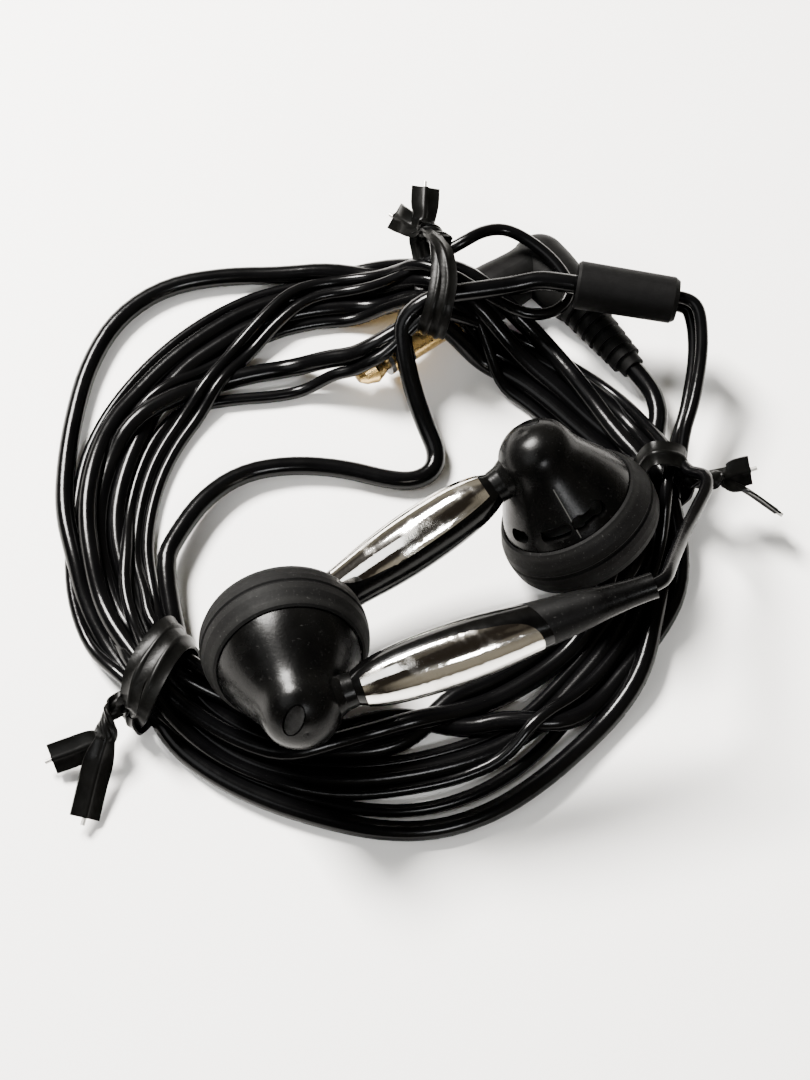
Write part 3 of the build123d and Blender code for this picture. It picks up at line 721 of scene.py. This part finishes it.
moulded_pvc = Finish("moulded_pvc", IOR=1.15)
moulded_pvc.set("Base Color", moulded_pvc.ramped(moulded_pvc.noise(700.0, 5.0), (0.35, 0.0016),
                                                 (0.75, (0.0038, 0.0038, 0.0036))))
moulded_pvc.set("Roughness", 0.45 + moulded_pvc.noise(1200.0, 4.0) * 0.25)
moulded_pvc.set("Normal", moulded_pvc.bump(moulded_pvc.noise(6000.0, 3.0), 0.00002, 0.5))
dress("plug_body", moulded_pvc)
dress("plug_relief", moulded_pvc)

plug_gold = Finish("plug_gold", Metallic=1.0)
plug_gold.set("Base Color", plug_gold.ramped(plug_gold.noise(600.0, 4.0),
                                             (0.3, (0.52, 0.34, 0.12)),
                                             (0.7, (0.66, 0.46, 0.19))))
plug_gold.set("Roughness", 0.16 + plug_gold.noise(1600.0, 5.0) * 0.22)
for node in ("plug_tip", "plug_core", "plug_ring", "plug_sleeve"):
    dress(node, plug_gold)

plug_insulator = Finish("plug_insulator")
plug_insulator.set("Base Color", plug_insulator.ramped(plug_insulator.noise(2000.0), (0.3, 0.008),
                                                       (0.7, 0.016)))
plug_insulator.set("Roughness", 0.3 + plug_insulator.noise(3000.0) * 0.2)
dress("plug_tip_insulator", plug_insulator)
dress("plug_ring_insulator", plug_insulator)

# ---- The earbuds ----
# Both are alike and mirrored. The satin ABS housing is pressed into a rubber ear ring, a gloss
# stem with a chromed plate is moulded onto its nose, and the driver sits behind a steel grille.

MOULD_LINE_TURN = 82     # degrees from the stem, to the outside
MOULD_LINE_HALF = 0.00006
MOULD_LINE_CLEAR = 0.0025    # how near the axis it comes
MOULD_LINE_FOOT, MOULD_LINE_TOP = 0.0056, 0.0105
CLOTH_WEAVE = 42000.0    # waves of a pattern, in radians for each metre
FILM_RINGS = 22000.0
COIL_WINDING = 80000.0
FILM_DOME = 0.0034       # radius of the plain dome inside the rings


def bud_places(finish, bud):
    """Signals for a point's place in an earbud's own frame: along x, y and z."""
    away = finish.node("ShaderNodeVectorMath", {"operation": "SUBTRACT"},
                       {0: finish.place(), 1: bud.translation})
    turned = bud.to_3x3()
    return [finish.node("ShaderNodeVectorMath", {"operation": "DOT_PRODUCT"},
                        {0: away, 1: turned.col[k]}, output=1) for k in range(3)]


for side, bud, hand in (("left", LEFT_BUD, -1), ("right", RIGHT_BUD, 1)):
    # The rear housing: satin black, with a mould line up one side, painted lighter as a painted
    # highlight on its ridge, and dust in its pores.
    shell = Finish(f"{side}_housing_plastic", IOR=1.17)
    x, y, z = bud_places(shell, bud)
    seam_turn = math.radians(MOULD_LINE_TURN * hand)
    across_seam = y * math.cos(seam_turn) - x * math.sin(seam_turn)
    along_seam = x * math.cos(seam_turn) + y * math.sin(seam_turn)
    seam_and_glint = (shell.maths("COMPARE", across_seam, 0.0, MOULD_LINE_HALF)
            * (along_seam > MOULD_LINE_CLEAR) * (z > MOULD_LINE_FOOT) * (z < MOULD_LINE_TOP))
    grime = shell.ramped(shell.noise(2600.0, 6.0, 0.75), (0.61, 0.0), (0.68, 1.0))
    plain = shell.ramped(shell.noise(260.0, 5.0), (0.35, 0.0006),
                         (0.75, (0.0015, 0.0015, 0.0014)))
    dusty = shell.mix(grime * 0.2, plain, (0.05, 0.05, 0.048, 1))
    # The mould line's ridge is painted lighter than the shell: a painted highlight along it.
    shell.set("Base Color", shell.mix(seam_and_glint * 0.5, dusty, (0.07, 0.07, 0.066, 1)))
    shell.set("Roughness", 0.16 + shell.noise(700.0, 6.0) * 0.20)
    fine = shell.bump(shell.noise(4000.0, 4.0), 0.00002, 0.45)
    shell.set("Normal", shell.bump(seam_and_glint, 0.00005, 0.6, after=fine))
    dress(f"{side}_rear_housing", shell)

    # The small oval lens at the bottom of the port in the nose: clear gloss over black.
    lens = Finish(f"{side}_port_lens", Coat_Weight=0.6, Specular_IOR_Level=0.6)
    lens.set("Base Color", lens.ramped(lens.noise(1500.0), (0.3, 0.006), (0.7, 0.02)))
    lens.set("Roughness", 0.10 + lens.noise(2500.0) * 0.1)
    dress(f"{side}_nose_port", lens)

    # The stem: piano-black ABS with fine hairlines from handling.
    gloss = Finish(f"{side}_stem_gloss", IOR=1.25)
    gloss.set("Base Color", gloss.ramped(gloss.noise(300.0, 4.0), (0.35, 0.0005), (0.75, 0.0010)))
    gloss.set("Roughness", 0.09 + gloss.noise(900.0, 6.0) * 0.16)
    gloss.set("Normal", gloss.bump(gloss.noise(1800.0, 4.0), 0.00002, 0.3))
    dress(f"{side}_stem", gloss)

    # The outer plate of the stem: vacuum-plated chrome, rubbed dull in patches.
    plate = Finish(f"{side}_plate_chrome", Metallic=1.0)
    rubbed = plate.ramped(plate.noise(330.0, 4.0), (0.52, 0.0), (0.66, 1.0))
    plate.set("Base Color", plate.mix(rubbed, (0.86, 0.83, 0.78, 1), (0.70, 0.67, 0.61, 1)))
    plate.set("Roughness", 0.05 + rubbed * 0.12 + plate.noise(4000.0, 3.0) * 0.05)
    waves = plate.bump(plate.noise(260.0, 2.0), 0.00012, 0.35)
    grains = plate.noise(7000.0, 4.0) * rubbed
    plate.set("Normal", plate.bump(grains, 0.00003, 0.5, after=waves))
    dress(f"{side}_stem_plate", plate)

    # The strain relief: soft matte rubber that thins towards the cord and picks up lint.
    relief = Finish(f"{side}_relief_rubber", IOR=1.15)
    lint = relief.ramped(relief.noise(3200.0, 5.0, 0.8), (0.62, 0.0), (0.68, 1.0))
    plain = relief.ramped(relief.noise(400.0, 5.0), (0.35, 0.0005), (0.75, 0.0011))
    relief.set("Base Color", relief.mix(lint * 0.4, plain, (0.06, 0.06, 0.057, 1)))
    along_stem = bud_places(relief, bud)[0]
    polished = relief.ramped(along_stem * 30.0, (0.84, 0.0), (0.88, 1.0))
    relief.set("Roughness", 0.40 - polished * 0.22 + relief.noise(1400.0, 4.0) * 0.2)
    relief.set("Normal", relief.bump(relief.noise(4500.0, 4.0), 0.00002, 0.5))
    dress(f"{side}_strain_relief", relief)

    # The ear ring: matte rubber, greyed by wear along its steps and specked with dust.
    rubber = Finish(f"{side}_ring_rubber", IOR=1.15)
    z = bud_places(rubber, bud)[2]
    worn = rubber.ramped(z * 180.0, (0.50, 0.0), (0.56, 0.5), (0.80, 0.2), (0.88, 1.0),
                         (0.95, 0.3))
    worn = worn * (0.4 + rubber.noise(500.0, 6.0, 0.7) * 1.1)
    specks = rubber.ramped(rubber.noise(3600.0, 5.0, 0.8), (0.61, 0.0),
                           (0.67, 1.0))
    plain = rubber.mix(worn * 0.6, (0.0013, 0.0013, 0.0013, 1), (0.008, 0.008, 0.0076, 1))
    rubber.set("Base Color", rubber.mix(specks * 0.3, plain, (0.08, 0.08, 0.076, 1)))
    rubber.set("Roughness", 0.50 + rubber.noise(1200.0, 5.0) * 0.25)
    rubber.set("Normal", rubber.bump(rubber.noise(3500.0, 5.0), 0.00003, 0.6))
    dress(f"{side}_ear_ring", rubber)

    # The front: a black painted steel grille over a fine woven cloth.
    paint = Finish(f"{side}_grille_paint", IOR=1.15)
    paint.set("Base Color", paint.ramped(paint.noise(900.0, 5.0), (0.35, 0.006), (0.75, 0.016)))
    paint.set("Roughness", 0.35 + paint.noise(2200.0, 4.0) * 0.2)
    paint.set("Normal", paint.bump(paint.noise(5000.0, 3.0), 0.00002, 0.6))
    dress(f"{side}_front_grille", paint)
    cloth = Finish(f"{side}_front_cloth", Roughness=0.9)
    x, y = bud_places(cloth, bud)[:2]
    weave = cloth.maths("SINE", x * CLOTH_WEAVE) * cloth.maths("SINE", y * CLOTH_WEAVE)
    cloth.set("Base Color", cloth.ramped(weave * 0.5 + 0.5, (0.2, 0.006), (0.8, 0.03)))
    cloth.set("Normal", cloth.bump(weave, 0.00002, 0.8))
    dress(f"{side}_front_cloth", cloth)

    # The driver: a film diaphragm on a soft surround, a copper voice coil, a nickel-plated
    # magnet between zinc-plated steel poles, all in a moulded frame with a felt-covered back.
    film = Finish(f"{side}_film", Specular_IOR_Level=0.6)
    x, y = bud_places(film, bud)[:2]
    radius = film.maths("SQRT", x * x + y * y)
    film.set("Base Color", film.ramped(film.noise(400.0), (0.3, (0.05, 0.045, 0.035)),
                                       (0.7, (0.09, 0.08, 0.06))))
    film.set("Roughness", 0.18 + film.noise(1200.0) * 0.12)
    rings = film.maths("SINE", radius * FILM_RINGS) * (radius > FILM_DOME)
    film.set("Normal", film.bump(rings, 0.00003, 0.5))
    dress(f"{side}_diaphragm", film)
    dress(f"{side}_surround", film)
    copper = Finish(f"{side}_copper", Metallic=1.0)
    turns_and_groove_shade = copper.maths("SINE", bud_places(copper, bud)[2] * COIL_WINDING)
    # Darker between the turns and lighter on their crowns: painted shade in the grooves and a
    # painted highlight on the wire.
    copper.set("Base Color", copper.ramped(turns_and_groove_shade * 0.5 + 0.5, (0.2, (0.38, 0.13, 0.05)),
                                           (0.8, (0.72, 0.33, 0.15))))
    copper.set("Roughness", 0.3 + copper.noise(2500.0) * 0.15)
    copper.set("Normal", copper.bump(turns_and_groove_shade, 0.00002, 0.6))
    dress(f"{side}_voice_coil", copper)
    steel = Finish(f"{side}_driver_steel", Metallic=1.0)
    steel.set("Base Color", steel.ramped(steel.noise(500.0, 5.0), (0.3, (0.46, 0.47, 0.48)),
                                         (0.7, 0.60)))
    steel.set("Roughness", 0.3 + steel.noise(2600.0, 5.0) * 0.25)
    dress(f"{side}_top_plate", steel)
    dress(f"{side}_yoke", steel)
    nickel = Finish(f"{side}_magnet_nickel", Metallic=1.0)
    nickel.set("Base Color", nickel.ramped(nickel.noise(3500.0, 5.0), (0.35, (0.50, 0.48, 0.44)),
                                           (0.7, (0.70, 0.68, 0.63))))
    nickel.set("Roughness", 0.16 + nickel.noise(3500.0, 5.0) * 0.2)
    dress(f"{side}_magnet", nickel)
    frame_plastic = Finish(f"{side}_frame_plastic", IOR=1.15)
    frame_plastic.set("Base Color", frame_plastic.ramped(frame_plastic.noise(800.0, 4.0),
                                                         (0.35, 0.010), (0.75, 0.022)))
    frame_plastic.set("Roughness", 0.4 + frame_plastic.noise(2400.0) * 0.2)
    dress(f"{side}_driver_frame", frame_plastic)
    board = Finish(f"{side}_board")
    x, y = bud_places(board, bud)[:2]
    pads = (board.maths("COMPARE", board.maths("ABSOLUTE", y), 0.0007, 0.0004)
            * board.maths("COMPARE", x, 0.00505, 0.00028))
    board.set("Base Color", board.mix(pads, board.ramped(board.noise(1800.0),
                                                         (0.3, (0.010, 0.075, 0.03)),
                                                         (0.7, (0.016, 0.11, 0.045))),
                                      (0.62, 0.60, 0.56, 1)))
    board.set("Metallic", pads * 0.9)
    board.set("Roughness", 0.4 - pads * 0.12 + board.noise(2600.0) * 0.15)
    dress(f"{side}_terminal_board", board)
    felt = Finish(f"{side}_felt")
    fibres = felt.noise(5200.0, 8.0, 0.8)
    felt.set("Base Color", felt.ramped(fibres, (0.3, 0.02), (0.7, (0.09, 0.09, 0.085))))
    felt.set("Roughness", 0.85 + fibres * 0.12)
    felt.set("Normal", felt.bump(fibres, 0.00008, 0.9))
    dress(f"{side}_vent_felt", felt)
